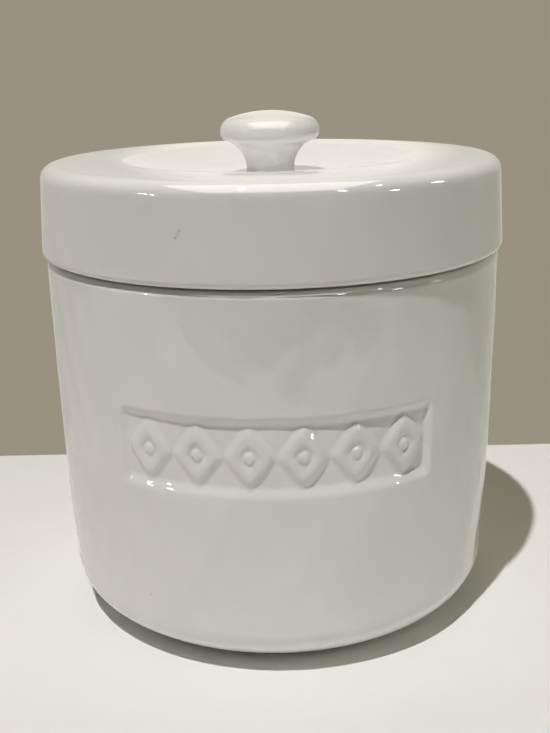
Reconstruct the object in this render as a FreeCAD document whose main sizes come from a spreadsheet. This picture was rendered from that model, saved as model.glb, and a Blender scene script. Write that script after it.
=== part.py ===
"""Lidded stoneware keeper for bacon grease, with a drop-in wire mesh strainer.

Millimetres and degrees, +Z up. The origin is the centre of the foot, on the surface
that the keeper stands on. The side with the sunk panel faces -Y.
"""
import FreeCAD
import Part
import Sketcher
import math
import os
import re

# ---------------------------------------------------------------- driving sizes

SIZES = {
    # crock: outside
    "crock_height": 125.2,             # resting plane to the rim
    "crock_radius": 65.0,              # outside, from the belly to the shoulder
    "crock_wall_thickness": 5.0,
    "wall_curve_radius": 1300.0,       # slow inward curve of the lower wall
    "wall_taper_angle": 2.9,           # off upright, where the wall meets the base curve
    "base_high_radius": 11.0,          # base curve next to the wall
    "base_low_radius": 22.0,           # base curve next to the foot
    "base_turn_angle": 42.0,           # off level, where the two base curves meet
    "foot_reveal_height": 0.6,         # bare foot showing below the base curve
    "foot_width": 4.5,
    "foot_recess_depth": 1.6,
    "foot_edge_radius": 0.4,
    # crock: neck
    "neck_gap_width": 1.0,             # between neck and lid skirt, all round
    "neck_wall_thickness": 4.4,
    "neck_root_radius": 0.8,
    "rim_edge_radius": 1.4,
    "shoulder_edge_radius": 1.8,
    "shoulder_gap_height": 0.8,        # between shoulder and the skirt's lower edge
    "inner_shoulder_depth": 1.2,
    # sunk panel and its relief band
    "panel_bottom_height": 52.0,
    "panel_height": 22.5,
    "panel_depth": 1.3,
    "panel_margin_width": 2.7,         # end of the relief band to the end of the panel
    "panel_mouth_radius": 1.0,         # where its sides meet the wall
    "panel_corner_radius": 4.0,
    "lozenge_count": 6,
    "lozenge_width": 12.0,
    "lozenge_height": 15.6,
    "lozenge_gap_width": 1.75,
    "lozenge_rib_width": 2.6,
    "relief_sink_depth": 0.25,         # top of the relief below the wall round the panel
    "bead_radius": 1.5,
    # lid
    "lid_overhang_width": 1.1,         # skirt's lower edge standing out past the crock
    "lid_plate_thickness": 5.4,
    "lid_wall_thickness": 5.7,         # at the skirt's lower edge
    "skirt_depth": 25.4,               # lid top to the skirt's lower edge
    "skirt_taper_angle": 3.3,          # off upright, wider downwards
    "lid_top_edge_radius": 4.5,
    "skirt_outer_edge_radius": 1.8,
    "skirt_inner_edge_radius": 0.7,
    "skirt_root_radius": 2.0,
    "bowl_depth": 5.7,                 # dished recess round the knob
    "bowl_curve_radius": 91.0,
    "bowl_lip_radius": 3.0,
    # knob
    "knob_radius": 14.2,
    "knob_edge_radius": 3.9,           # above the knob's widest place
    "knob_edge_low_radius": 3.0,       # below it
    "knob_dome_radius": 36.0,
    "knob_stem_radius": 6.9,
    "knob_neck_radius": 8.1,
    "knob_stem_length": 0.2,
    "knob_flare_radius": 1.3,
    "knob_foot_height": 0.3,
    "knob_seat_margin_width": 2.3,     # level ring of the recess round the knob's foot
    # strainer
    "sheet_thickness": 0.8,
    "flange_gap_width": 0.4,           # flange edge to the round inside the lid
    "collar_gap_width": 0.7,           # collar to the crock's bore
    "collar_depth": 9.0,               # below the rim
    "bend_radius": 1.2,
    "hem_gap_width": 0.05,             # between the collar, the mesh hem and the clamp ring
    "hem_height": 5.0,
    "mesh_thickness": 0.6,
    "dish_corner_radius": 6.0,
    "dish_curve_radius": 130.0,
    "clamp_edge_radius": 0.3,
    # lifting loops
    "loop_wire_radius": 0.9,
    "loop_reach_length": 13.0,         # weld to crown
    "loop_half_width": 10.0,           # half the distance between the legs
    "loop_corner_radius": 5.0,
    "loop_bend_radius": 2.5,
    "loop_foot_angle": 6.0,            # of the clamp ring that each welded foot covers
    "loop_rise_height": 2.8,           # above the collar's lower edge
    "weld_gap_width": 0.03,
}

# ----------------------------------------- places that follow from the sizes

PLACES = {
    # lid
    "lid_radius": "crock_radius + lid_overhang_width",
    "lid_under": "crock_height + sheet_thickness",
    "lid_top": "lid_under + lid_plate_thickness",
    "skirt_bottom": "lid_top - skirt_depth",
    "skirt_inner": "lid_radius - lid_wall_thickness",
    "skirt_low_x": "lid_radius - skirt_outer_edge_radius * (1 - cos(skirt_taper_angle))",
    "skirt_low_z": "skirt_bottom + skirt_outer_edge_radius * (1 + sin(skirt_taper_angle))",
    "skirt_high_z": "lid_top - lid_top_edge_radius * (1 - sin(skirt_taper_angle))",
    "skirt_high_x": "skirt_low_x - (skirt_high_z - skirt_low_z) * tan(skirt_taper_angle)",
    "top_edge_x": "skirt_high_x - lid_top_edge_radius * cos(skirt_taper_angle)",
    "bowl_floor": "lid_top - bowl_depth",
    "bowl_under": "bowl_floor - lid_plate_thickness",
    "bowl_centre_z": "bowl_floor + bowl_curve_radius",
    "bowl_back": "bowl_curve_radius + lid_plate_thickness",
    "bowl_back_x": "knob_seat + sqrt(bowl_back^2 - (bowl_centre_z - lid_under)^2)",
    "lip_centre_z": "lid_top - bowl_lip_radius",
    "lip_reach": "bowl_curve_radius + bowl_lip_radius",
    "lip_share": "bowl_lip_radius / lip_reach",
    "lip_x": "knob_seat + sqrt(lip_reach^2 - (bowl_centre_z - lip_centre_z)^2)",
    "lip_end_x": "lip_x - (lip_x - knob_seat) * lip_share",
    "lip_end_z": "lip_centre_z + (bowl_centre_z - lip_centre_z) * lip_share",
    # knob
    "knob_foot": "knob_stem_radius + knob_flare_radius",
    "knob_seat": "knob_foot + knob_seat_margin_width",
    "knob_foot_top": "bowl_floor + knob_foot_height",
    "stem_low": "knob_foot_top + knob_flare_radius",
    "stem_high": "stem_low + knob_stem_length",
    "edge_x": "knob_radius - knob_edge_radius",
    "low_edge_x": "knob_radius - knob_edge_low_radius",
    "neck_x": "knob_stem_radius + knob_neck_radius",
    "neck_reach": "knob_edge_low_radius + knob_neck_radius",
    "neck_share": "knob_edge_low_radius / neck_reach",
    "edge_z": "stem_high + sqrt(neck_reach^2 - (neck_x - low_edge_x)^2)",
    "edge_low_x": "low_edge_x + (neck_x - low_edge_x) * neck_share",
    "edge_low_z": "edge_z - (edge_z - stem_high) * neck_share",
    "dome_reach": "knob_dome_radius - knob_edge_radius",
    "dome_share": "knob_dome_radius / dome_reach",
    "dome_z": "edge_z - sqrt(dome_reach^2 - edge_x^2)",
    "edge_high_x": "edge_x * dome_share",
    "edge_high_z": "dome_z + (edge_z - dome_z) * dome_share",
    "knob_top": "dome_z + knob_dome_radius",
    # crock: neck and shoulder
    "neck_outer": "skirt_inner - neck_gap_width",
    "bore": "neck_outer - neck_wall_thickness",
    "shoulder": "skirt_bottom - shoulder_gap_height",
    # crock: base curve and lower wall, from the foot upwards
    "base_meet_z": "foot_reveal_height + base_low_radius * (1 - cos(base_turn_angle))",
    "base_high_z": "base_meet_z + base_high_radius * cos(base_turn_angle)",
    "wall_start_z": "base_high_z - base_high_radius * sin(wall_taper_angle)",
    "belly": "wall_start_z + wall_curve_radius * sin(wall_taper_angle)",
    "wall_start_x": "crock_radius - wall_curve_radius * (1 - cos(wall_taper_angle))",
    "base_high_x": "wall_start_x - base_high_radius * cos(wall_taper_angle)",
    "base_meet_x": "base_high_x + base_high_radius * sin(base_turn_angle)",
    "foot_outer": "base_meet_x - base_low_radius * sin(base_turn_angle)",
    "foot_inner": "foot_outer - foot_width",
    # crock: inside, one wall's thickness in from the outside
    "inside": "crock_radius - crock_wall_thickness",
    "inside_floor": "foot_reveal_height + crock_wall_thickness",
    "inside_start_x": "wall_start_x - crock_wall_thickness * cos(wall_taper_angle)",
    "inside_start_z": "wall_start_z + crock_wall_thickness * sin(wall_taper_angle)",
    "inside_meet_x": "base_meet_x - crock_wall_thickness * sin(base_turn_angle)",
    "inside_meet_z": "base_meet_z + crock_wall_thickness * cos(base_turn_angle)",
    "inside_step": "(inside - bore) / 2",
    "inside_neck": "shoulder - inner_shoulder_depth",
    # panel and relief
    "panel_floor": "crock_radius - panel_depth",
    "panel_top": "panel_bottom_height + panel_height",
    "panel_middle": "panel_bottom_height + panel_height / 2",
    "panel_outside": "crock_radius + panel_mouth_radius",
    "lozenge_pitch": "lozenge_width + lozenge_gap_width",
    "panel_width": "lozenge_count * lozenge_pitch + 2 * panel_margin_width",
    "panel_angle": "panel_width / crock_radius * 180 / pi",
    "lozenge_angle": "lozenge_pitch / crock_radius * 180 / pi",
    "first_lozenge": "-lozenge_angle * (lozenge_count - 1) / 2",
    "hole_share": "1 - 2 * lozenge_rib_width * sqrt(1 / lozenge_width^2 + 1 / lozenge_height^2)",
    "relief_root": "panel_floor - crock_wall_thickness / 3",
    "relief_top": "crock_radius - relief_sink_depth",
    # strainer
    "flange_edge": "skirt_inner - skirt_root_radius - flange_gap_width",
    "collar_outer": "bore - collar_gap_width",
    "collar_inner": "collar_outer - sheet_thickness",
    "collar_bottom": "crock_height - collar_depth",
    "bend_x": "collar_outer + bend_radius",
    "bend_z": "crock_height - bend_radius",
    "hem_outer": "collar_inner - hem_gap_width",
    "hem_inner": "hem_outer - mesh_thickness",
    "hem_top": "collar_bottom + hem_height",
    "dish_x": "hem_outer - dish_corner_radius",
    "dish_reach": "dish_curve_radius - dish_corner_radius",
    "dish_rise": "sqrt(dish_reach^2 - dish_x^2)",
    "dish_z": "collar_bottom + dish_rise",
    "dish_share": "dish_curve_radius / dish_reach",
    "dish_back_share": "(dish_curve_radius - mesh_thickness) / dish_reach",
    "clamp_outer": "hem_inner - hem_gap_width",
    "clamp_inner": "clamp_outer - sheet_thickness",
    # lifting loops
    "loop_z": "collar_bottom + loop_rise_height",
    "loop_run": "clamp_inner - loop_wire_radius - weld_gap_width",
    "loop_crown": "loop_run - loop_reach_length",
    "loop_bend_y": "loop_half_width + loop_bend_radius",
    "loop_bend_x": "sqrt((loop_run - loop_bend_radius)^2 - loop_bend_y^2)",
    "loop_share": "loop_run / (loop_run - loop_bend_radius)",
    "weld_x": "loop_bend_x * loop_share",
    "weld_y": "loop_bend_y * loop_share",
    "loop_end_x": "weld_x * cos(loop_foot_angle) - weld_y * sin(loop_foot_angle)",
    "loop_end_y": "weld_x * sin(loop_foot_angle) + weld_y * cos(loop_foot_angle)",
}

doc = FreeCAD.newDocument("grease_keeper")
sheet = doc.addObject("Spreadsheet::Sheet", "Sizes")
places = doc.addObject("App::VarSet", "Places")


def linked(text):
    """An expression with each size and place led by the object that holds it."""
    def owner(word):
        name = word.group(0)
        if name in SIZES:
            return "Sizes." + name
        if name in PLACES:
            return "Places." + name
        return name
    return re.sub(r"[a-z_]+", owner, text)


def value(text):
    return float(sheet.evalExpression(linked(text)))


def fill_sheet():
    for row, (name, size) in enumerate(SIZES.items(), start=1):
        sheet.set("A%d" % row, name)
        sheet.set("B%d" % row, str(size))
        sheet.setAlias("B%d" % row, name)
    doc.recompute()
    for name in PLACES:
        places.addProperty("App::PropertyFloat", name)
    for name, expression in PLACES.items():
        places.setExpression(name, linked(expression))
    doc.recompute()


# -------------------------------------------------------------- sketch helpers
# Sketch constraints number an edge's ends 1 and 2 and a circle's centre 3. They
# number the origin's point (-1, 1), the level axis -1 and the upright axis -2.

def new_body(name):
    body = doc.addObject("PartDesign::Body", name)
    body.Label = name
    body.Placement = FreeCAD.Placement()
    return body


def origin_feature(body, role):
    return next(item for item in body.Origin.OriginFeatures if item.Role == role)


def new_sketch(body, name, role="XZ_Plane"):
    sketch = body.newObject("Sketcher::SketchObject", name)
    sketch.AttachmentSupport = (origin_feature(body, role), [""])
    sketch.MapMode = "FlatFace"
    return sketch


def arc_between(start, end, radius, side):
    """Arc of under half a turn that leaves start and bears left or right to end."""
    chord = end - start
    normal = FreeCAD.Vector(-chord.y, chord.x, 0).normalize()
    if side == "right":
        normal = normal * -1
    reach = math.sqrt(max(radius ** 2 - (chord.Length / 2) ** 2, 0.0))
    centre = (start + end) * 0.5 + normal * reach
    first, last = (start, end) if side == "left" else (end, start)
    angles = [math.atan2(point.y - centre.y, point.x - centre.x) for point in (first, last)]
    circle = Part.Circle(centre, FreeCAD.Vector(0, 0, 1), radius)
    return Part.ArcOfCircle(circle, angles[0], angles[1])


def constrain(sketch, name, constraint, expression):
    index = sketch.addConstraint(constraint)
    sketch.renameConstraint(index, name)
    sketch.setExpression("Constraints." + name, linked(expression))


def pin(sketch, name, edge, end, across, up):
    """Hold a point at its place, on an axis where that place is 0."""
    if across == "0":
        sketch.addConstraint(Sketcher.Constraint("PointOnObject", edge, end, -2))
    else:
        rule = Sketcher.Constraint("DistanceX", -1, 1, edge, end, value(across))
        constrain(sketch, name + "_x", rule, across)
    if up == "0":
        sketch.addConstraint(Sketcher.Constraint("PointOnObject", edge, end, -1))
    else:
        rule = Sketcher.Constraint("DistanceY", -1, 1, edge, end, value(up))
        constrain(sketch, name + "_y", rule, up)


def draw(sketch, start, steps, closed=True, name="p"):
    """Draw a run of lines and arcs bound to the sheet.

    A step is (x, y) for a line to that point, or (x, y, side, radius) for an arc.
    A closed run ends with a line back to its start.
    """
    if closed:
        steps = steps + [start]
    here = start
    joint = None
    first_joint = None
    for number, step in enumerate(steps):
        begin = FreeCAD.Vector(value(here[0]), value(here[1]), 0)
        end = FreeCAD.Vector(value(step[0]), value(step[1]), 0)
        tail, head = 1, 2
        if len(step) == 2:
            edge = sketch.addGeometry(Part.LineSegment(begin, end), False)
        else:
            side, radius = step[2], step[3]
            edge = sketch.addGeometry(arc_between(begin, end, value(radius), side), False)
            if side == "right":
                tail, head = 2, 1
            rule = Sketcher.Constraint("Radius", edge, value(radius))
            constrain(sketch, "%s%d_r" % (name, number), rule, radius)
        if joint is None:
            first_joint = (edge, tail)
            pin(sketch, "%s_start" % name, edge, tail, *start)
        else:
            sketch.addConstraint(Sketcher.Constraint("Coincident", *joint, edge, tail))
        joint = (edge, head)
        if closed and number == len(steps) - 1:
            sketch.addConstraint(Sketcher.Constraint("Coincident", *joint, *first_joint))
        else:
            pin(sketch, "%s%d" % (name, number), edge, head, step[0], step[1])
        here = step


def draw_circle(sketch, name, across, up, radius):
    centre = FreeCAD.Vector(value(across), value(up), 0)
    circle = Part.Circle(centre, FreeCAD.Vector(0, 0, 1), value(radius))
    edge = sketch.addGeometry(circle, False)
    constrain(sketch, name + "_r", Sketcher.Constraint("Radius", edge, value(radius)), radius)
    pin(sketch, name, edge, 3, across, up)


def revolved(name, start, steps):
    """A body turned about the upright axis from an outline of (radius, height)."""
    body = new_body(name)
    sketch = new_sketch(body, name + "_outline")
    draw(sketch, start, steps)
    turn = body.newObject("PartDesign::Revolution", name + "_turned")
    turn.Profile = sketch
    turn.ReferenceAxis = (sketch, ["V_Axis"])
    turn.Angle = 360
    doc.recompute()
    return body


# --------------------------------------------------------------------- crock

def make_crock():
    """Slip-cast crock: round base on a bare foot ring, shoulder, and inset neck."""
    body = revolved("crock", ("0", "foot_recess_depth"), [
        ("foot_inner", "foot_recess_depth"),
        ("foot_inner", "foot_edge_radius"),
        ("foot_inner + foot_edge_radius", "0", "left", "foot_edge_radius"),
        ("foot_outer - foot_edge_radius", "0"),
        ("foot_outer", "foot_edge_radius", "left", "foot_edge_radius"),
        ("foot_outer", "foot_reveal_height"),
        ("base_meet_x", "base_meet_z", "left", "base_low_radius"),
        ("wall_start_x", "wall_start_z", "left", "base_high_radius"),
        ("crock_radius", "belly", "left", "wall_curve_radius"),
        ("crock_radius", "shoulder - shoulder_edge_radius"),
        ("crock_radius - shoulder_edge_radius", "shoulder", "left", "shoulder_edge_radius"),
        ("neck_outer + neck_root_radius", "shoulder"),
        ("neck_outer", "shoulder + neck_root_radius", "right", "neck_root_radius"),
        ("neck_outer", "crock_height - rim_edge_radius"),
        ("neck_outer - rim_edge_radius", "crock_height", "left", "rim_edge_radius"),
        ("bore + rim_edge_radius", "crock_height"),
        ("bore", "crock_height - rim_edge_radius", "left", "rim_edge_radius"),
        ("bore", "inside_neck"),
        ("bore + inside_step", "inside_neck - inside_step", "left", "inside_step"),
        ("inside", "inside_neck - 2 * inside_step", "right", "inside_step"),
        ("inside", "belly"),
        ("inside_start_x", "inside_start_z", "right", "wall_curve_radius - crock_wall_thickness"),
        ("inside_meet_x", "inside_meet_z", "right", "base_high_radius - crock_wall_thickness"),
        ("foot_outer", "inside_floor", "right", "base_low_radius - crock_wall_thickness"),
        ("0", "inside_floor"),
    ])
    sink_panel(body)
    raise_lozenges(body)


def sink_panel(body):
    """Shallow panel sunk into the front of the wall, with rounded corners."""
    before = body.Shape.Volume
    sketch = new_sketch(body, "panel_outline", "YZ_Plane")
    sketch.AttachmentOffset = FreeCAD.Placement(
        FreeCAD.Vector(), FreeCAD.Rotation(FreeCAD.Vector(0, 1, 0), 180))
    draw(sketch, ("panel_floor", "panel_bottom_height"), [
        ("panel_floor", "panel_top"),
        ("panel_outside", "panel_top"),
        ("panel_outside", "panel_bottom_height"),
    ])
    cut = body.newObject("PartDesign::Groove", "panel_cut")
    cut.Profile = sketch
    cut.ReferenceAxis = (sketch, ["V_Axis"])
    cut.Midplane = True
    cut.setExpression("Angle", linked("panel_angle"))
    doc.recompute()
    if body.Shape.Volume >= before:
        raise RuntimeError("the panel cuts nothing")
    corners = body.newObject("PartDesign::Fillet", "panel_corners")
    corners.Base = (cut, panel_edges(cut.Shape, across_wall=True))
    corners.setExpression("Radius", linked("panel_corner_radius"))
    doc.recompute()
    mouth = body.newObject("PartDesign::Fillet", "panel_mouth")
    mouth.Base = (corners, panel_edges(corners.Shape, across_wall=False))
    mouth.setExpression("Radius", linked("panel_mouth_radius"))
    doc.recompute()


def panel_edges(shape, across_wall):
    """Edges of the panel: the short ones at its corners, or those round its mouth."""
    half_depth = value("panel_depth") / 2
    margin = value("panel_mouth_radius")
    low = value("panel_bottom_height") - margin
    high = value("panel_top") + margin
    found = []
    for number, edge in enumerate(shape.Edges, start=1):
        box = edge.BoundBox
        radii = [math.hypot(vertex.X, vertex.Y) for vertex in edge.Vertexes]
        if box.ZMin < low or box.ZMax > high:
            continue
        if across_wall:
            wanted = max(radii) - min(radii) > half_depth
        else:
            wanted = min(radii) > value("panel_floor") + half_depth
        if wanted:
            found.append("Edge%d" % number)
    return found


def raise_lozenges(body):
    """Relief band in the panel: hollow lozenges, each round a bead."""
    sketch = new_sketch(body, "lozenge_outline")
    turn = linked("first_lozenge")
    sketch.AttachmentOffset = FreeCAD.Placement(
        FreeCAD.Vector(), FreeCAD.Rotation(FreeCAD.Vector(0, 1, 0), value("first_lozenge")))
    sketch.setExpression("AttachmentOffset.Base.x", linked("relief_root") + " * sin(%s)" % turn)
    sketch.setExpression("AttachmentOffset.Base.z", linked("relief_root") + " * cos(%s)" % turn)
    sketch.setExpression("AttachmentOffset.Rotation.Angle", turn)
    doc.recompute()
    for name, share in (("outer", "1"), ("hole", "hole_share")):
        half_width = "lozenge_width / 2 * " + share
        half_height = "lozenge_height / 2 * " + share
        draw(sketch, ("0", "panel_middle - " + half_height), [
            (half_width, "panel_middle"),
            ("0", "panel_middle + " + half_height),
            ("-" + half_width, "panel_middle"),
        ], name=name)
    draw_circle(sketch, "bead", "0", "panel_middle", "bead_radius")
    lozenge = body.newObject("PartDesign::Pad", "lozenge")
    lozenge.Profile = sketch
    lozenge.setExpression("Length", linked("relief_top - relief_root"))
    doc.recompute()
    band = body.newObject("PartDesign::PolarPattern", "lozenge_band")
    band.Originals = [lozenge]
    band.Axis = (origin_feature(body, "Z_Axis"), [""])
    band.setExpression("Angle", linked("lozenge_angle * (lozenge_count - 1)"))
    band.setExpression("Occurrences", linked("lozenge_count"))
    body.Tip = band
    doc.recompute()


# ----------------------------------------------------------------------- lid

def make_lid():
    """Cap lid: deep skirt over the neck, dished recess in the top."""
    revolved("lid", ("0", "bowl_under"), [
        ("knob_seat", "bowl_under"),
        ("bowl_back_x", "lid_under", "left", "bowl_back"),
        ("skirt_inner - skirt_root_radius", "lid_under"),
        ("skirt_inner", "lid_under - skirt_root_radius", "right", "skirt_root_radius"),
        ("skirt_inner", "skirt_bottom + skirt_inner_edge_radius"),
        ("skirt_inner + skirt_inner_edge_radius", "skirt_bottom", "left", "skirt_inner_edge_radius"),
        ("lid_radius - skirt_outer_edge_radius", "skirt_bottom"),
        ("skirt_low_x", "skirt_low_z", "left", "skirt_outer_edge_radius"),
        ("skirt_high_x", "skirt_high_z"),
        ("top_edge_x", "lid_top", "left", "lid_top_edge_radius"),
        ("lip_x", "lid_top"),
        ("lip_end_x", "lip_end_z", "left", "bowl_lip_radius"),
        ("knob_seat", "bowl_floor", "right", "bowl_curve_radius"),
        ("0", "bowl_floor"),
    ])


def make_knob():
    """Mushroom knob, cast by itself and stuck to the middle of the recess."""
    revolved("lid_knob", ("0", "bowl_floor"), [
        ("knob_foot", "bowl_floor"),
        ("knob_foot", "knob_foot_top"),
        ("knob_stem_radius", "stem_low", "right", "knob_flare_radius"),
        ("knob_stem_radius", "stem_high"),
        ("edge_low_x", "edge_low_z", "right", "knob_neck_radius"),
        ("knob_radius", "edge_z", "left", "knob_edge_low_radius"),
        ("edge_high_x", "edge_high_z", "left", "knob_edge_radius"),
        ("0", "knob_top", "left", "knob_dome_radius"),
    ])


# ------------------------------------------------------------------ strainer

def make_strainer_flange():
    """Pressed ring: a flange that lies on the rim and a collar inside the bore."""
    revolved("strainer_flange", ("collar_inner", "collar_bottom"), [
        ("collar_outer", "collar_bottom"),
        ("collar_outer", "bend_z"),
        ("bend_x", "crock_height", "right", "bend_radius"),
        ("flange_edge", "crock_height"),
        ("flange_edge", "lid_under"),
        ("bend_x", "lid_under"),
        ("collar_inner", "bend_z", "left", "bend_radius + sheet_thickness"),
    ])


def make_strainer_mesh():
    """Woven dish, as a thin shell: an upright hem, a round corner, a shallow bowl."""
    revolved("strainer_mesh", ("0", "dish_z - dish_curve_radius"), [
        ("dish_x * dish_share", "dish_z - dish_rise * dish_share", "left", "dish_curve_radius"),
        ("hem_outer", "collar_bottom", "left", "dish_corner_radius"),
        ("hem_outer", "hem_top"),
        ("hem_inner", "hem_top"),
        ("hem_inner", "collar_bottom"),
        ("dish_x * dish_back_share", "dish_z - dish_rise * dish_back_share",
         "right", "dish_corner_radius - mesh_thickness"),
        ("0", "dish_z - dish_curve_radius + mesh_thickness",
         "right", "dish_curve_radius - mesh_thickness"),
    ])


def make_clamp_ring():
    """Band spot-welded inside the hem, which holds the mesh against the collar."""
    revolved("mesh_clamp_ring", ("clamp_outer", "collar_bottom"), [
        ("clamp_outer", "hem_top"),
        ("clamp_inner + clamp_edge_radius", "hem_top"),
        ("clamp_inner", "hem_top - clamp_edge_radius", "left", "clamp_edge_radius"),
        ("clamp_inner", "collar_bottom + clamp_edge_radius"),
        ("clamp_inner + clamp_edge_radius", "collar_bottom", "left", "clamp_edge_radius"),
    ])


def make_finger_loop(name, turn):
    """Wire loop that reaches in over the dish, its two feet welded to the clamp ring.

    Half of it is swept from the middle of the crown, and the other half mirrored.
    """
    body = new_body(name)
    path = new_sketch(body, name + "_path", "XY_Plane")
    path.setExpression("AttachmentOffset.Base.z", linked("loop_z"))
    draw(path, ("loop_crown", "0"), [
        ("loop_crown", "loop_half_width - loop_corner_radius"),
        ("loop_crown + loop_corner_radius", "loop_half_width", "right", "loop_corner_radius"),
        ("loop_bend_x", "loop_half_width"),
        ("weld_x", "weld_y", "left", "loop_bend_radius"),
        ("loop_end_x", "loop_end_y", "left", "loop_run"),
    ], closed=False)
    section = new_sketch(body, name + "_section")
    draw_circle(section, "wire", "loop_crown", "loop_z", "loop_wire_radius")
    doc.recompute()
    half = body.newObject("PartDesign::AdditivePipe", name + "_half")
    half.Profile = section
    half.Spine = (path, [])
    doc.recompute()
    whole = body.newObject("PartDesign::Mirrored", name + "_whole")
    whole.Originals = [half]
    whole.MirrorPlane = (origin_feature(body, "XZ_Plane"), [""])
    body.Tip = whole
    body.Placement = FreeCAD.Placement(
        FreeCAD.Vector(), FreeCAD.Rotation(FreeCAD.Vector(0, 0, 1), turn))
    doc.recompute()


# --------------------------------------------------------------------- output

def check_document():
    for item in doc.Objects:
        bad = {"Invalid", "Error"} & set(item.State)
        if bad:
            raise RuntimeError("%s is %s" % (item.Label, bad))


def write_parts():
    os.makedirs("parts", exist_ok=True)
    bodies = [item for item in doc.Objects if item.TypeId == "PartDesign::Body"]
    for body in bodies:
        shape = body.Shape
        if shape.isNull() or not shape.isValid() or len(shape.Solids) != 1:
            raise RuntimeError("%s is not one valid solid" % body.Label)
    for body in bodies:
        body.Shape.exportStep("parts/%s.step" % body.Label)
        print("%-20s %9.1f mm3" % (body.Label, body.Shape.Volume))


def main():
    fill_sheet()
    make_crock()
    make_lid()
    make_knob()
    make_strainer_flange()
    make_strainer_mesh()
    make_clamp_ring()
    make_finger_loop("finger_loop_right", turn=0)
    make_finger_loop("finger_loop_left", turn=180)
    check_document()
    write_parts()


main()
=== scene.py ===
"""Looks of the grease keeper: glazed stoneware, steel strainer, table, light and camera.

Outlines are (radius, height) about the upright axis, in millimetres, with the piece on
their left as they run. Angles about that axis are 0 at the front (-Y) and grow towards
+X. A mesh is turned into metres when it is made, and lamps are placed in metres.
"""

import math

import bpy
import numpy as np
from mathutils import Matrix, Vector


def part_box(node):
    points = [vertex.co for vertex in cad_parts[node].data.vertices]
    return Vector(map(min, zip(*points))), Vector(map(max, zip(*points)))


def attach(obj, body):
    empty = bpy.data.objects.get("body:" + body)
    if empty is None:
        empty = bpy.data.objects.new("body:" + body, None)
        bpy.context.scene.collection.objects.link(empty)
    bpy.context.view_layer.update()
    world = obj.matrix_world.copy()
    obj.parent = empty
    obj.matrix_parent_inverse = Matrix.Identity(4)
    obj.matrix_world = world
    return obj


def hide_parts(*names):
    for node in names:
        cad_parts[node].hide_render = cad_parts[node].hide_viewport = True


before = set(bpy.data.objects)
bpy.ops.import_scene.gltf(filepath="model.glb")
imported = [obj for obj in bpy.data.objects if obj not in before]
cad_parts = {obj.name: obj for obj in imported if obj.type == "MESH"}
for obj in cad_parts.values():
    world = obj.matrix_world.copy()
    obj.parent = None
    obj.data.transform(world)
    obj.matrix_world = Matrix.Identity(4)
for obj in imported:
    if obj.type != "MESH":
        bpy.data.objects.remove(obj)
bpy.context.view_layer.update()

MM = 0.001


def corners(node):
    """Lowest and highest corner of a CAD node, in millimetres."""
    low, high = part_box(node)
    return low / MM, high / MM


# ------------------------------------------------------------------------ sizes

CROCK_HIGH = corners("crock")[1]
LID_LOW, LID_HIGH = corners("lid")
KNOB_LOW, KNOB_HIGH = corners("lid_knob")
FLANGE_LOW, FLANGE_HIGH = corners("strainer_flange")
CLAMP_LOW, CLAMP_HIGH = corners("mesh_clamp_ring")
LOOP_LOW, LOOP_HIGH = corners("finger_loop_right")

# crock
RADIUS = CROCK_HIGH.x
RIM_Z = CROCK_HIGH.z
WALL = 5.0
WALL_CURVE = 1300.0
TAPER = math.radians(2.9)
BASE_HIGH_RADIUS = 11.0
BASE_LOW_RADIUS = 22.0
BASE_TURN = math.radians(42.0)
FOOT_REVEAL = 0.6
FOOT_WIDTH = 4.5
FOOT_RECESS = 1.6
FOOT_EDGE = 0.5
FOOT_ROOT = 0.8             # rounding between the foot's inside and its recess
NECK_GAP = 1.0
NECK_WALL = 4.4
NECK_ROOT = 0.9
RIM_EDGE = 1.6
SHOULDER_EDGE = 1.8
SHOULDER_GAP = 0.8
INNER_SHOULDER = 1.2

# sunk panel with its band of lozenges
PANEL_LOW = 52.0
PANEL_HIGH = 74.5
PANEL_DEPTH = 1.3
PANEL_HALF_WIDTH = 43.95
PANEL_TOP_SLOPE = 3.6
PANEL_BOTTOM_SLOPE = 3.8
PANEL_END_SLOPE = 3.0
LOZENGES = 6
LOZENGE_PITCH = 13.75
LOZENGE_WIDTH = 12.0
LOZENGE_HEIGHT = 15.6
LOZENGE_RIB = 2.9
LOZENGE_TIP = 1.2           # how far a lozenge's corners are blunted
LOZENGE_SINK = 0.28         # depth of its ribs under the wall's face
BEAD_RADIUS = 1.7
SOFT_EDGE = 2.5            # how far the glaze rounds the edge of a rib or bead

# lid
LID_RADIUS = LID_HIGH.x
LID_TOP = LID_HIGH.z
SKIRT_BOTTOM = LID_LOW.z
LID_UNDER = FLANGE_HIGH.z
LID_PLATE = LID_TOP - LID_UNDER
LID_WALL = 5.7
LID_EDGE = 4.5
SKIRT_TAPER = math.radians(3.3)
SKIRT_OUTER_EDGE = 1.8
SKIRT_INNER_EDGE = 0.7
SKIRT_ROOT = 2.0
BOWL_DEPTH = 5.7
BOWL_CURVE = 91.0
BOWL_LIP = 3.0
BOWL_SEAT = 10.5
CROWN = 0.45                # rise of the rim's top between its two edges

# knob
KNOB_RADIUS = KNOB_HIGH.x
KNOB_EDGE = 3.9
KNOB_EDGE_LOW = 3.0
KNOB_DOME = 36.0
KNOB_STEM = 6.9
KNOB_NECK = 8.1
KNOB_FOOT = 8.2
KNOB_FOOT_HEIGHT = 0.3
KNOB_FLARE = 1.3
KNOB_STEM_LENGTH = 0.2
KNOB_FOOT_ROUND = 0.12
WRINKLE_HEIGHT = 0.6        # of the slip joint's wrinkle above the flare
WRINKLE_WIDTH = 0.35
WRINKLE_DEPTH = 0.09

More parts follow.
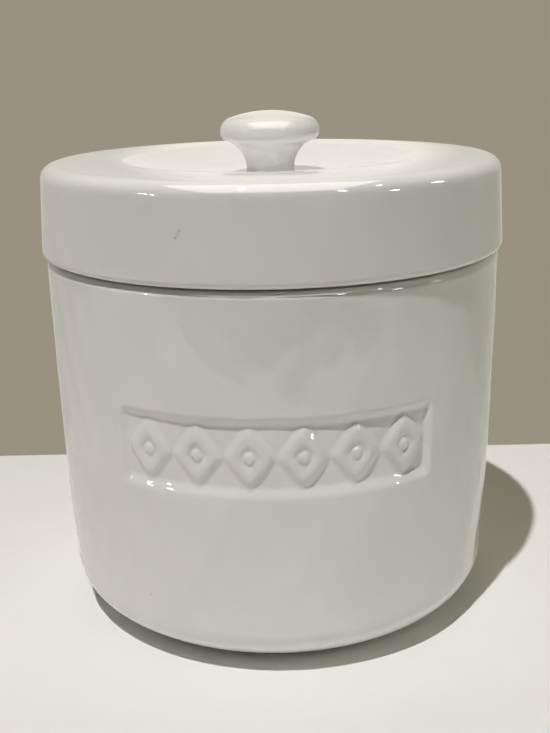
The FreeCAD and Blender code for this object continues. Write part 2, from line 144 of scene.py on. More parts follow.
# strainer
SHEET = 0.8
CUT_EDGE = 0.22
BEND = 1.2
HEM_GAP = 0.05
MESH_THICKNESS = 0.6
DISH_CORNER = 6.0
DISH_CURVE = 130.0
WIRE_PITCH = 1.45
WIRE_RADIUS = 0.15
WEAVE_RISE = 0.145
CLAMP_EDGE = 0.3
SPOT_WELDS = 16
SPOT_RADIUS = 1.5
SPOT_DEPTH = 0.16
SPOT_SLOPE = 0.8
LOOP_WIRE = 0.9
LOOP_HALF_WIDTH = 10.0
LOOP_CORNER = 5.0
LOOP_BEND = 2.5
LOOP_FOOT_ANGLE = math.radians(6.0)
LOOP_GAP = 0.03             # between a loop's feet and the band
LOOP_TIP = 0.7              # length over which a wire's end is rounded
WELD_LENGTH = 4.6
WELD_SLOPE = 1.2
WELD_SWELL = 0.42

# mean depth of the glaze's runs under the face of the solid
WALL_FLOW = 0.24
SKIRT_FLOW = 0.07
TOP_FLOW = 0.035
KNOB_FLOW = 0.06
SKIN = 1.5                  # what lies further out than this from a wall's inside is its outside

# where the runs and the crown set in, and over what length
FOOT_FADE = (4.0, 18.0)         # up from the table
SHOULDER_FADE = (-1.0, 6.0)     # down from the shoulder
CORNER_FADE = (-1.0, 6.0)       # down from the lid's top
SKIRT_FADE = (-1.0, 7.0)        # in from the skirt's outside
KNOB_FADE = (8.0, 6.0)          # out from the axis
CROWN_FADE = (30.0, 14.0)       # out from the axis
STEM_FADE = (0.3, 2.0)          # up from the knob's foot

# marks in the glaze: (centre, radius)
WALL_SPECK = [((-34.3, -53.1, 20.7), 0.7)]
SKIRT_SMUDGE = [((-22.4, -61.5, 118.1), 0.6), ((-21.9, -61.6, 118.9), 0.7),
                ((-21.4, -61.7, 119.7), 0.6)]

# spacing of points on outlines, and their number round a piece or wire
ARC_STEP = math.radians(9.0)
PLAIN_PITCH = 2.2
GLAZED_PITCH = 1.2
WALL_PITCH = 1.0
PANEL_PITCH = 0.3
PANEL_MARGIN = 1.5
KNOB_PITCH = 0.35
FLANGE_PITCH = 0.8
DISH_PITCH = 0.4
CLAMP_PITCH = 0.35
LOOP_PITCH = 0.5
CROCK_ROUND = 300
LID_ROUND = 320
KNOB_ROUND = 128
FLANGE_ROUND = 300
CLAMP_ROUND = 720
LOOP_ROUND = 28
WIRE_ROUND = 6

# places that follow
SKIRT_INNER = LID_RADIUS - LID_WALL
NECK_OUTER = SKIRT_INNER - NECK_GAP
BORE = NECK_OUTER - NECK_WALL
SKIRT_LOW_X = LID_RADIUS - SKIRT_OUTER_EDGE * (1 - math.cos(SKIRT_TAPER))
SKIRT_LOW_Z = SKIRT_BOTTOM + SKIRT_OUTER_EDGE * (1 + math.sin(SKIRT_TAPER))
SKIRT_HIGH_Z = LID_TOP - LID_EDGE * (1 - math.sin(SKIRT_TAPER))
SKIRT_HIGH_X = SKIRT_LOW_X - (SKIRT_HIGH_Z - SKIRT_LOW_Z) * math.tan(SKIRT_TAPER)
TOP_EDGE_X = SKIRT_HIGH_X - LID_EDGE * math.cos(SKIRT_TAPER)
SHOULDER_Z = SKIRT_BOTTOM - SHOULDER_GAP
BASE_MEET_Z = FOOT_REVEAL + BASE_LOW_RADIUS * (1 - math.cos(BASE_TURN))
WALL_START_Z = BASE_MEET_Z + BASE_HIGH_RADIUS * (math.cos(BASE_TURN) - math.sin(TAPER))
BELLY_Z = WALL_START_Z + WALL_CURVE * math.sin(TAPER)
WALL_START_X = RADIUS - WALL_CURVE * (1 - math.cos(TAPER))
BASE_MEET_X = WALL_START_X + BASE_HIGH_RADIUS * (math.sin(BASE_TURN) - math.cos(TAPER))
FOOT_OUTER = BASE_MEET_X - BASE_LOW_RADIUS * math.sin(BASE_TURN)
FOOT_INNER = FOOT_OUTER - FOOT_WIDTH
INSIDE = RADIUS - WALL
STEP = (INSIDE - BORE) / 2
INSIDE_NECK = SHOULDER_Z - INNER_SHOULDER
COLLAR_INNER = CLAMP_HIGH.x + HEM_GAP * 2 + MESH_THICKNESS
COLLAR_OUTER = COLLAR_INNER + SHEET
HEM_OUTER = COLLAR_INNER - HEM_GAP
CLAMP_INNER = CLAMP_HIGH.x - SHEET


# ----------------------------------------------------------------------- outlines

def arc_points(start, end, side, radius, pitch):
    """Points after start along an arc that bears left or right to end."""
    chord = end - start
    normal = np.array([-chord[1], chord[0]]) / np.hypot(*chord)
    if side == "right":
        normal = -normal
    reach = math.sqrt(max(radius ** 2 - chord @ chord / 4, 0.0))
    centre = (start + end) / 2 + normal * reach
    first = math.atan2(*(start - centre)[::-1])
    last = math.atan2(*(end - centre)[::-1])
    turn = (last - first + math.pi) % (2 * math.pi) - math.pi
    count = max(2, math.ceil(abs(turn) / ARC_STEP), math.ceil(abs(turn) * radius / pitch))
    angles = first + turn * np.arange(1, count + 1) / count
    return centre + radius * np.column_stack([np.cos(angles), np.sin(angles)])


def trace(start, steps, pitch=PLAIN_PITCH):
    """Points along lines (r, z) and arcs (r, z, side, radius), about pitch apart."""
    here = np.array(start, float)
    points = [here[None, :]]
    for step in steps:
        end = np.array(step[:2], float)
        if len(step) == 2:
            count = max(1, math.ceil(np.hypot(*(end - here)) / pitch))
            share = np.arange(1, count + 1)[:, None] / count
            points.append(here + (end - here) * share)
        else:
            points.append(arc_points(here, end, step[2], step[3], pitch))
        here = end
    return np.vstack(points)


def joined(*runs):
    """Runs of an outline, each starting where the one before ended."""
    return np.vstack([runs[0]] + [run[1:] for run in runs[1:]])


def wall_radius(z):
    """Outside radius of the crock's wall at a height."""
    below = np.maximum(BELLY_Z - z, 0.0)
    return RADIUS - WALL_CURVE + np.sqrt(WALL_CURVE ** 2 - below ** 2)


def even_angles(count):
    """Angles that divide a turn evenly."""
    return np.arange(count) * 2 * math.pi / count


# -------------------------------------------------------------------------- meshes

def new_object(name, verts, faces, materials, smooth=True):
    """Object from points in millimetres."""
    mesh = bpy.data.meshes.new(name)
    mesh.from_pydata((np.asarray(verts) * MM).tolist(), [], faces)
    mesh.polygons.foreach_set("use_smooth", [smooth] * len(mesh.polygons))
    for material in materials:
        mesh.materials.append(material)
    mesh.update()
    obj = bpy.data.objects.new(name, mesh)
    bpy.context.scene.collection.objects.link(obj)
    return obj


def strip_faces(rows, columns, ring=False, skip=0):
    """Four-sided faces between rows of points that close round in columns."""
    faces = []
    last = rows if ring else rows - 1
    for i in range(last):
        here = skip + i * columns
        above = skip + (i + 1) % rows * columns
        for j in range(columns):
            k = (j + 1) % columns
            faces.append((here + j, here + k, above + k, above + j))
    return faces


def turned(name, outline, angles, material, inset=None, ring=False):
    """Outline turned about Z. inset(angle, r, z) gives how far its points sink in.

    Ends of the outline that lie on the axis close with a fan of triangles.
    """
    on_axis = [outline[0, 0] < 1e-6, outline[-1, 0] < 1e-6]
    body = outline[int(on_axis[0]):len(outline) - int(on_axis[1])]
    angle, radius = np.meshgrid(angles, body[:, 0])
    height = np.repeat(body[:, 1][:, None], len(angles), 1)
    if inset is not None:
        radius, height = inset(angle, radius, height)
    verts = np.stack([radius * np.sin(angle), -radius * np.cos(angle), height], -1)
    rows, columns = angle.shape
    faces = strip_faces(rows, columns, ring)
    verts = verts.reshape(-1, 3).tolist()
    for end, row in ((0, 0), (1, rows - 1)):
        if on_axis[end]:
            tip = len(verts)
            verts.append([0.0, 0.0, float(outline[-end, 1])])
            for j in range(columns):
                pair = (row * columns + j, row * columns + (j + 1) % columns)
                faces.append((tip, *(pair[::-1] if end == 0 else pair)))
    return new_object(name, verts, faces, [material])


def swept(name, path, frames, section, material):
    """Closed tube along path.

    frames are (across, up) at each point, and section(share) gives the outline at a
    share of the way as (across, up) offsets.
    """
    rings = []
    for index, (centre, (across, up)) in enumerate(zip(path, frames)):
        outline = section(index / (len(path) - 1))
        rings.append(centre + outline[:, :1] * across + outline[:, 1:] * up)
    count = len(rings[0])
    verts = np.vstack(rings)
    faces = strip_faces(len(rings), count)
    faces.append(tuple(range(count))[::-1])
    faces.append(tuple(range(len(verts) - count, len(verts))))
    return new_object(name, verts, faces, [material])


def bump(x):
    """Smooth step from 0 to 1."""
    x = np.clip(x, 0.0, 1.0)
    return x * x * (3 - 2 * x)


def fade(distance, start, length):
    """0 up to start, and from there a smooth step to 1 over a length."""
    return bump((distance - start) / length)


def glaze_waves(seed, counts, lengths, size):
    """Slow runs in a glaze: a field over (angle, height), from -size to +size.

    counts are the least and most waves round the piece, and lengths the least and
    most wavelength up it.
    """
    rng = np.random.default_rng(seed)
    waves = []
    for _ in range(16):
        around = int(rng.integers(counts[0], counts[1] + 1))
        up = 2 * math.pi / rng.uniform(*lengths)
        waves.append((around, up, rng.uniform(0, 2 * math.pi, 2), rng.uniform(0.5, 1.0)))
    total = sum(wave[3] for wave in waves)

    def field(angle, height):
        value = np.zeros_like(angle)
        for around, up, phase, share in waves:
            value += share * np.cos(around * angle + phase[0]) * np.cos(up * height + phase[1])
        return size * 2 * value / total
    return field


# ----------------------------------------------------------------------- materials

def new_material(name):
    material = bpy.data.materials.new(name)
    material.use_nodes = True
    tree = material.node_tree
    return material, tree, tree.nodes["Principled BSDF"]


def add(tree, kind, inputs=None, **settings):
    """New node, with settings on the node and values or links on its inputs."""
    node = tree.nodes.new(kind)
    for key, setting in settings.items():
        setattr(node, key, setting)
    for key, value in (inputs or {}).items():
        if isinstance(value, bpy.types.NodeSocket):
            tree.links.new(value, node.inputs[key])
        else:
            node.inputs[key].default_value = value
    return node


def math_node(tree, operation, *values):
    node = add(tree, "ShaderNodeMath", dict(enumerate(values)), operation=operation)
    return node.outputs[0]


def mixed(tree, factor, first, second):
    """Blend of two colours, from the first at 0 to the second at 1."""
    return add(tree, "ShaderNodeMix", {0: factor, 6: first, 7: second},
               data_type="RGBA").outputs[2]


def ramp(tree, factor, stops):
    """Colour ramp through stops of (place, colour)."""
    stops = list(stops)
    node = add(tree, "ShaderNodeValToRGB", {"Fac": factor})
    elements = node.color_ramp.elements
    while len(elements) < len(stops):
        elements.new(0.5)
    for element, (place, colour) in zip(elements, stops):
        element.position = place
        element.color = (*colour, 1.0)
    return node.outputs["Color"]


def grey(value):
    return (value, value, value)


BLACK = grey(0.0)
WHITE = grey(1.0)


def noise(tree, place, scale, detail=3.0, roughness=0.55):
    node = add(tree, "ShaderNodeTexNoise",
               {"Vector": place, "Scale": scale, "Detail": detail, "Roughness": roughness})
    return node.outputs["Fac"]


def object_place(tree):
    return add(tree, "ShaderNodeTexCoord").outputs["Object"]


def spot_mask(tree, place, centre, radius):
    """1 at a point on the piece and 0 beyond radius, both in millimetres."""
    distance = add(tree, "ShaderNodeVectorMath", {0: place, 1: Vector(centre) * MM},
                   operation="DISTANCE").outputs["Value"]
    share = math_node(tree, "DIVIDE", distance, radius * MM)
    return ramp(tree, share, [(0.35, WHITE), (1.0, BLACK)])


GLAZE_COLOUR = (0.862, 0.862, 0.835)
GLAZE_THICK = (0.840, 0.838, 0.812)
GLAZE_SPECK = (0.30, 0.27, 0.22)


def glaze(name, marks):
    """Glossy white glaze with faint mottling, pinholes and stray specks.

    marks are (centre, radius) of small grey smudges, in millimetres.
    """
    material, tree, shader = new_material(name)
    place = object_place(tree)
    mottle = ramp(tree, noise(tree, place, 55.0),
                  [(0.35, GLAZE_THICK), (0.65, GLAZE_COLOUR)])
    cells = add(tree, "ShaderNodeTexVoronoi", {"Vector": place, "Scale": 130.0,
                                               "Randomness": 1.0})
    near = ramp(tree, cells.outputs["Distance"], [(0.03, WHITE), (0.055, BLACK)])
    # about one cell in a hundred has a speck in its middle
    draw = add(tree, "ShaderNodeSeparateColor", {"Color": cells.outputs["Color"]})
    chosen = ramp(tree, draw.outputs["Red"], [(0.990, BLACK), (0.994, WHITE)])
    speck = math_node(tree, "MULTIPLY", near, chosen)
    for centre, radius in marks:
        mask = spot_mask(tree, place, centre, radius)
        grain = ramp(tree, noise(tree, place, 900.0), [(0.4, grey(0.2)), (0.6, grey(0.6))])
        speck = math_node(tree, "MAXIMUM", speck, math_node(tree, "MULTIPLY", mask, grain))
    colour = mixed(tree, speck, mottle, (*GLAZE_SPECK, 1.0))
    tree.links.new(colour, shader.inputs["Base Color"])
    gloss = ramp(tree, noise(tree, place, 120.0, 4.0), [(0.3, grey(0.02)), (0.75, grey(0.045))])
    tree.links.new(gloss, shader.inputs["Roughness"])
    peel = noise(tree, place, 300.0, 2.0)
    pits = math_node(tree, "SUBTRACT", peel, speck)
    relief = add(tree, "ShaderNodeBump", {"Height": pits, "Strength": 0.03, "Distance": 0.0002})
    tree.links.new(relief.outputs["Normal"], shader.inputs["Normal"])
    shader.inputs["IOR"].default_value = 1.60
    return material


def bisque():
    """Bare fired clay of the foot: dry, pale and gritty."""
    material, tree, shader = new_material("bare_clay")
    place = object_place(tree)
    grit = noise(tree, place, 900.0, 5.0, 0.7)
    tree.links.new(ramp(tree, grit, [(0.3, (0.50, 0.42, 0.31)), (0.6, (0.66, 0.59, 0.48)),
                                     (0.8, (0.72, 0.67, 0.57))]), shader.inputs["Base Color"])
    relief = add(tree, "ShaderNodeBump", {"Height": grit, "Strength": 0.6, "Distance": 0.0002})
    tree.links.new(relief.outputs["Normal"], shader.inputs["Normal"])
    shader.inputs["Roughness"].default_value = 0.88
    return material


def steel(name, colour, gloss, brushed, strength):
    """Stainless steel. brushed stretches its fine scratches: (round, across, up)."""
    material, tree, shader = new_material(name)
    parts = add(tree, "ShaderNodeSeparateXYZ", {"Vector": object_place(tree)})
    x, y, z = (parts.outputs[axis] for axis in "XYZ")
    radius = add(tree, "ShaderNodeVectorMath",
                 {0: add(tree, "ShaderNodeCombineXYZ", {"X": x, "Y": y}).outputs[0]},
                 operation="LENGTH").outputs["Value"]
    angle = math_node(tree, "ARCTAN2", y, x)
    place = add(tree, "ShaderNodeVectorMath", {
        0: add(tree, "ShaderNodeCombineXYZ", {"X": angle, "Y": radius, "Z": z}).outputs[0],
        1: brushed}, operation="MULTIPLY").outputs[0]
    lines = noise(tree, place, 1.0, 3.0, 0.6)
    smudge = noise(tree, object_place(tree), 90.0, 3.0)
    tree.links.new(ramp(tree, smudge, [(0.3, tuple(c * 0.93 for c in colour)), (0.7, colour)]),
                   shader.inputs["Base Color"])
    tree.links.new(ramp(tree, lines, [(0.25, grey(gloss * 0.75)), (0.75, grey(gloss * 1.3))]),
                   shader.inputs["Roughness"])
    relief = add(tree, "ShaderNodeBump", {"Height": lines, "Strength": strength,
                                          "Distance": 0.0001})
    tree.links.new(relief.outputs["Normal"], shader.inputs["Normal"])
    shader.inputs["Metallic"].default_value = 1.0
    return material


# ---------------------------------------------------------------------------- crock

def panel_relief(run, z):
    """How far the wall is sunk at a place: run along the wall from the middle."""
    end = np.clip((PANEL_HALF_WIDTH - np.abs(run)) / PANEL_END_SLOPE, 0, 1)
    top = np.clip((PANEL_HIGH - z) / PANEL_TOP_SLOPE, 0, 1)
    bottom = np.clip((z - PANEL_LOW) / PANEL_BOTTOM_SLOPE, 0, 1)
    depth = bump(1 - np.hypot(1 - end, 1 - np.minimum(top, bottom)))

    number = np.clip(np.round(run / LOZENGE_PITCH - 0.5), -LOZENGES / 2, LOZENGES / 2 - 1)
    across = run - (number + 0.5) * LOZENGE_PITCH
    up = z - (PANEL_LOW + PANEL_HIGH) / 2
    half_width, half_height = LOZENGE_WIDTH / 2, LOZENGE_HEIGHT / 2
    blunt_across = np.hypot(across, LOZENGE_TIP) - LOZENGE_TIP * 0.4
    blunt_up = np.hypot(up, LOZENGE_TIP) - LOZENGE_TIP * 0.4
    reach = blunt_across / half_width + blunt_up / half_height - 1
    past_edge = reach / math.hypot(1 / half_width, 1 / half_height)
    rib = LOZENGE_RIB / 2 - np.abs(past_edge + LOZENGE_RIB / 2)
    bead = BEAD_RADIUS - np.hypot(across, up)
    raised = np.maximum(bump((rib + SOFT_EDGE / 2) / SOFT_EDGE),
                        bump((bead + SOFT_EDGE / 2) / SOFT_EDGE))
    return depth * PANEL_DEPTH - np.minimum(depth, raised) * (PANEL_DEPTH - LOZENGE_SINK)


def make_crock(material, clay):
    """Crock with its foot ring, panel and neck as one mesh, bare clay on the foot."""
    outside_low = trace((0, FOOT_RECESS), [
        (FOOT_INNER - FOOT_ROOT, FOOT_RECESS),
        (FOOT_INNER, FOOT_RECESS - FOOT_ROOT, "right", FOOT_ROOT),
        (FOOT_INNER, FOOT_EDGE),
        (FOOT_INNER + FOOT_EDGE, 0, "left", FOOT_EDGE),
        (FOOT_OUTER - FOOT_EDGE, 0),
        (FOOT_OUTER, FOOT_EDGE, "left", FOOT_EDGE),
        (FOOT_OUTER, FOOT_REVEAL),
        (BASE_MEET_X, BASE_MEET_Z, "left", BASE_LOW_RADIUS),
        (WALL_START_X, WALL_START_Z, "left", BASE_HIGH_RADIUS),
    ], GLAZED_PITCH)
    heights = np.concatenate([
        np.arange(WALL_START_Z, PANEL_LOW - PANEL_MARGIN, WALL_PITCH),
        np.arange(PANEL_LOW - PANEL_MARGIN, PANEL_HIGH + PANEL_MARGIN, PANEL_PITCH),
        np.arange(PANEL_HIGH + PANEL_MARGIN, SHOULDER_Z - SHOULDER_EDGE, WALL_PITCH),
        [SHOULDER_Z - SHOULDER_EDGE],
    ])
    wall = np.column_stack([wall_radius(heights), heights])
    top = trace((RADIUS, SHOULDER_Z - SHOULDER_EDGE), [
        (RADIUS - SHOULDER_EDGE, SHOULDER_Z, "left", SHOULDER_EDGE),
        (NECK_OUTER + NECK_ROOT, SHOULDER_Z),
        (NECK_OUTER, SHOULDER_Z + NECK_ROOT, "right", NECK_ROOT),
        (NECK_OUTER, RIM_Z - RIM_EDGE),
        (NECK_OUTER - RIM_EDGE, RIM_Z, "left", RIM_EDGE),
        (BORE + RIM_EDGE, RIM_Z),
        (BORE, RIM_Z - RIM_EDGE, "left", RIM_EDGE),
        (BORE, INSIDE_NECK),
        (BORE + STEP, INSIDE_NECK - STEP, "left", STEP),
        (INSIDE, INSIDE_NECK - 2 * STEP, "right", STEP),
        (INSIDE, BELLY_Z),
        (WALL_START_X - WALL * math.cos(TAPER), WALL_START_Z + WALL * math.sin(TAPER),
         "right", WALL_CURVE - WALL),
        (BASE_MEET_X - WALL * math.sin(BASE_TURN), BASE_MEET_Z + WALL * math.cos(BASE_TURN),
         "right", BASE_HIGH_RADIUS - WALL),
        (FOOT_OUTER, FOOT_REVEAL + WALL, "right", BASE_LOW_RADIUS - WALL),
        (0, FOOT_REVEAL + WALL),
    ])
    outline = joined(outside_low, wall, top)

    edge = (PANEL_HALF_WIDTH + PANEL_MARGIN) / RADIUS
    fine = np.linspace(-edge, edge, math.ceil(2 * edge * RADIUS / PANEL_PITCH))
    coarse = np.linspace(edge, 2 * math.pi - edge, CROCK_ROUND)[1:-1]
    sags = glaze_waves(11, (3, 12), (34, 60), 0.30)
    runs = glaze_waves(12, (28, 46), (18, 34), 0.16)

    def inset(angle, radius, height):
        outside = radius > INSIDE + SKIN
        run = ((angle + math.pi) % (2 * math.pi) - math.pi) * RADIUS
        flow = WALL_FLOW + sags(angle, height) + runs(angle, height)
        flow = flow * fade(height, *FOOT_FADE) * fade(SHOULDER_Z - height, *SHOULDER_FADE)
        return radius - (panel_relief(run, height) + flow) * outside, height

    crock = turned("crock_body", outline, np.concatenate([fine, coarse]), material, inset)
    crock.data.materials.append(clay)
    bare = [1 if is_foot(face.center / MM) else 0 for face in crock.data.polygons]
    crock.data.polygons.foreach_set("material_index", bare)
    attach(crock, "crock")
    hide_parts("crock")


def is_foot(centre):
    radius = math.hypot(centre.x, centre.y)
    return centre.z < FOOT_REVEAL + 0.05 and FOOT_INNER - 0.05 < radius < FOOT_OUTER + 0.05


# ------------------------------------------------------------------------------ lid

def make_lid(material):
    """Cap lid with its skirt, crowned rim and dished bowl."""
    bowl_floor = LID_TOP - BOWL_DEPTH
    centre_z = bowl_floor + BOWL_CURVE
    back = BOWL_CURVE + LID_PLATE
    back_x = BOWL_SEAT + math.sqrt(back ** 2 - (centre_z - LID_UNDER) ** 2)
    lip_z = LID_TOP - BOWL_LIP
    reach = BOWL_CURVE + BOWL_LIP
    lip_x = BOWL_SEAT + math.sqrt(reach ** 2 - (centre_z - lip_z) ** 2)
    lip_end = (lip_x - (lip_x - BOWL_SEAT) * BOWL_LIP / reach,
               lip_z + (centre_z - lip_z) * BOWL_LIP / reach)
    outline = trace((0, bowl_floor - LID_PLATE), [
        (BOWL_SEAT, bowl_floor - LID_PLATE),
        (back_x, LID_UNDER, "left", back),
        (SKIRT_INNER - SKIRT_ROOT, LID_UNDER),
        (SKIRT_INNER, LID_UNDER - SKIRT_ROOT, "right", SKIRT_ROOT),
        (SKIRT_INNER, SKIRT_BOTTOM + SKIRT_INNER_EDGE),
        (SKIRT_INNER + SKIRT_INNER_EDGE, SKIRT_BOTTOM, "left", SKIRT_INNER_EDGE),
        (LID_RADIUS - SKIRT_OUTER_EDGE, SKIRT_BOTTOM),
        (SKIRT_LOW_X, SKIRT_LOW_Z, "left", SKIRT_OUTER_EDGE),
        (SKIRT_HIGH_X, SKIRT_HIGH_Z),
        (TOP_EDGE_X, LID_TOP, "left", LID_EDGE),
        (lip_x, LID_TOP),
        (*lip_end, "left", BOWL_LIP),
        (BOWL_SEAT, bowl_floor, "right", BOWL_CURVE),
        (0, bowl_floor),
    ], GLAZED_PITCH)
    crown_middle = (lip_x + TOP_EDGE_X) / 2
    crown_half = TOP_EDGE_X - crown_middle
    side = glaze_waves(23, (14, 44), (14, 30), 0.09)
    top = glaze_waves(29, (2, 14), (9, 40), 0.035)

    def inset(angle, radius, height):
        on_side = (radius > SKIRT_INNER + SKIN) & (height > SKIRT_BOTTOM + 0.2)
        flow = (SKIRT_FLOW + side(angle, height)) * on_side * fade(LID_TOP - height, *CORNER_FADE)
        # the plate's under side is lower under the bowl
        on_top = height > LID_UNDER + 0.5 - BOWL_DEPTH * (radius < lip_end[0])
        crown = CROWN * np.minimum(((radius - crown_middle) / crown_half) ** 2, 1)
        sunk = TOP_FLOW + crown * fade(radius, *CROWN_FADE) + top(angle, radius)
        sunk = sunk * on_top * fade(radius, *KNOB_FADE) * fade(LID_RADIUS - radius, *SKIRT_FADE)
        return radius - flow, height - sunk

    lid = turned("lid_cap", outline, even_angles(LID_ROUND), material, inset)
    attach(lid, "lid")
    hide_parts("lid")


def make_knob(material):
    """Mushroom knob, with a slight wrinkle where slip joins it to the lid."""
    foot_z = KNOB_LOW.z
    stem_low = foot_z + KNOB_FOOT_HEIGHT + KNOB_FLARE
    stem_high = stem_low + KNOB_STEM_LENGTH
    edge_x = KNOB_RADIUS - KNOB_EDGE
    low_edge_x = KNOB_RADIUS - KNOB_EDGE_LOW
    neck_x = KNOB_STEM + KNOB_NECK
    reach = KNOB_EDGE_LOW + KNOB_NECK
    edge_z = stem_high + math.sqrt(reach ** 2 - (neck_x - low_edge_x) ** 2)
    share = KNOB_EDGE_LOW / reach
    dome_reach = KNOB_DOME - KNOB_EDGE
    dome_z = edge_z - math.sqrt(dome_reach ** 2 - edge_x ** 2)
    outline = trace((0, foot_z), [
        (KNOB_FOOT, foot_z),
        (KNOB_FOOT - 0.1, foot_z + KNOB_FOOT_ROUND, "left", KNOB_FOOT_ROUND),
        (KNOB_STEM, stem_low, "right", KNOB_FLARE + 0.15),
        (KNOB_STEM, stem_high),
        (low_edge_x + (neck_x - low_edge_x) * share, edge_z - (edge_z - stem_high) * share,
         "right", KNOB_NECK),
        (KNOB_RADIUS, edge_z, "left", KNOB_EDGE_LOW),
        (edge_x * KNOB_DOME / dome_reach, dome_z + (edge_z - dome_z) * KNOB_DOME / dome_reach,
         "left", KNOB_EDGE),
        (0, dome_z + KNOB_DOME, "left", KNOB_DOME),
    ], KNOB_PITCH)
    waves = glaze_waves(37, (1, 7), (5, 14), 0.06)

    def inset(angle, radius, height):
        flow = (KNOB_FLOW + waves(angle, height)) * fade(height - foot_z, *STEM_FADE)
        # the wrinkle wanders up and down as it goes round
        line = stem_low + WRINKLE_HEIGHT + 0.5 * np.sin(2 * angle + 0.6) + 0.3 * np.sin(5 * angle)
        wrinkle = WRINKLE_DEPTH * np.exp(-((height - line) / WRINKLE_WIDTH) ** 2)
        wrinkle = wrinkle * (0.6 + 0.4 * np.cos(angle - 0.4)) * (radius < KNOB_STEM + 1.5)
        return radius * (1 - flow / KNOB_RADIUS) - wrinkle, height

    knob = turned("lid_knob_glazed", outline, even_angles(KNOB_ROUND), material, inset)
    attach(knob, "lid")
    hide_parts("lid_knob")


# ------------------------------------------------------------------------- strainer

def make_flange(material):
    """Pressed ring with its cut edges slightly rounded."""
    bend_x = COLLAR_OUTER + BEND
    rim = FLANGE_HIGH.x
    outline = trace((COLLAR_INNER + CUT_EDGE, FLANGE_LOW.z), [
        (COLLAR_OUTER - CUT_EDGE, FLANGE_LOW.z),
        (COLLAR_OUTER, FLANGE_LOW.z + CUT_EDGE, "left", CUT_EDGE),
        (COLLAR_OUTER, RIM_Z - BEND),
        (bend_x, RIM_Z, "right", BEND),
        (rim - CUT_EDGE, RIM_Z),
        (rim, RIM_Z + CUT_EDGE, "left", CUT_EDGE),
        (rim, LID_UNDER - CUT_EDGE),
        (rim - CUT_EDGE, LID_UNDER, "left", CUT_EDGE),
        (bend_x, LID_UNDER),
        (COLLAR_INNER, RIM_Z - BEND, "left", BEND + SHEET),
        (COLLAR_INNER, FLANGE_LOW.z + CUT_EDGE),
        (COLLAR_INNER + CUT_EDGE, FLANGE_LOW.z, "left", CUT_EDGE),
    ], FLANGE_PITCH)[:-1]
    flange = turned("strainer_rim", outline, even_angles(FLANGE_ROUND), material, ring=True)
    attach(flange, "strainer")
    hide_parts("strainer_flange")


def dish_outline():
    """Middle line of the cloth from the centre of the dish out and up its hem."""
    half = MESH_THICKNESS / 2
    middle = HEM_OUTER - half
    dish_x = HEM_OUTER - DISH_CORNER
    reach = DISH_CURVE - DISH_CORNER
    rise = math.sqrt(reach ** 2 - dish_x ** 2)
    centre_z = CLAMP_LOW.z + rise
    share = (DISH_CURVE - half) / reach
    return trace((0, centre_z - DISH_CURVE + half), [
        (dish_x * share, centre_z - rise * share, "left", DISH_CURVE - half),
        (middle, CLAMP_LOW.z, "left", DISH_CORNER - half),
        (middle, CLAMP_HIGH.z),
    ], DISH_PITCH)


def make_mesh(material):
    """Woven cloth: wires that pass over and under each other, pressed to a dish."""
    outline = dish_outline()
    along = np.concatenate([[0], np.cumsum(np.hypot(*np.diff(outline, axis=0).T))])
    slope = np.gradient(outline, along, axis=0)
    reach = along[-1]
    wires = int(reach / WIRE_PITCH)
    ring = np.linspace(0, 2 * math.pi, WIRE_ROUND, endpoint=False)
    verts, faces = [], []
    for crosswise in (False, True):
        for number in range(-wires, wires + 1):
            offset = number * WIRE_PITCH
            half = int(math.sqrt(max(reach ** 2 - offset ** 2, 0)) / WIRE_PITCH)
            steps = np.arange(-half, half + 1)
            if len(steps) < 3:
                continue
            run = steps * WIRE_PITCH
            side = np.where((steps + number + crosswise) % 2, 1.0, -1.0)
            flat = np.column_stack([np.full(len(run), offset), run])
            if crosswise:
                flat = flat[:, ::-1]
            distance = np.minimum(np.hypot(*flat.T), reach)
            radius, height = (np.interp(distance, along, outline[:, k]) for k in (0, 1))
            out, rise = (np.interp(distance, along, slope[:, k]) for k in (0, 1))
            spoke = flat / np.maximum(np.hypot(*flat.T), 1e-9)[:, None]
            normal = np.column_stack([-spoke * rise[:, None], out])
            centre = np.column_stack([spoke * radius[:, None], height])
            centre = centre + normal * (side * WEAVE_RISE)[:, None]
            ahead = np.gradient(centre, axis=0)
            ahead /= np.linalg.norm(ahead, axis=1)[:, None]
            across = np.cross(ahead, normal)
            across /= np.linalg.norm(across, axis=1)[:, None]
            up = np.cross(across, ahead)
            first = len(verts)
            for k in range(len(run)):
                verts.extend(centre[k] + WIRE_RADIUS * (np.outer(np.cos(ring), across[k])
                                                        + np.outer(np.sin(ring), up[k])))
            faces.extend(strip_faces(len(run), len(ring), skip=first))
            faces.append(tuple(first + np.arange(len(ring))[::-1]))
            faces.append(tuple(len(verts) - len(ring) + np.arange(len(ring))))
    cloth = new_object("strainer_cloth", verts, [tuple(map(int, face)) for face in faces],
                       [material])
    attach(cloth, "strainer")
    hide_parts("strainer_mesh")


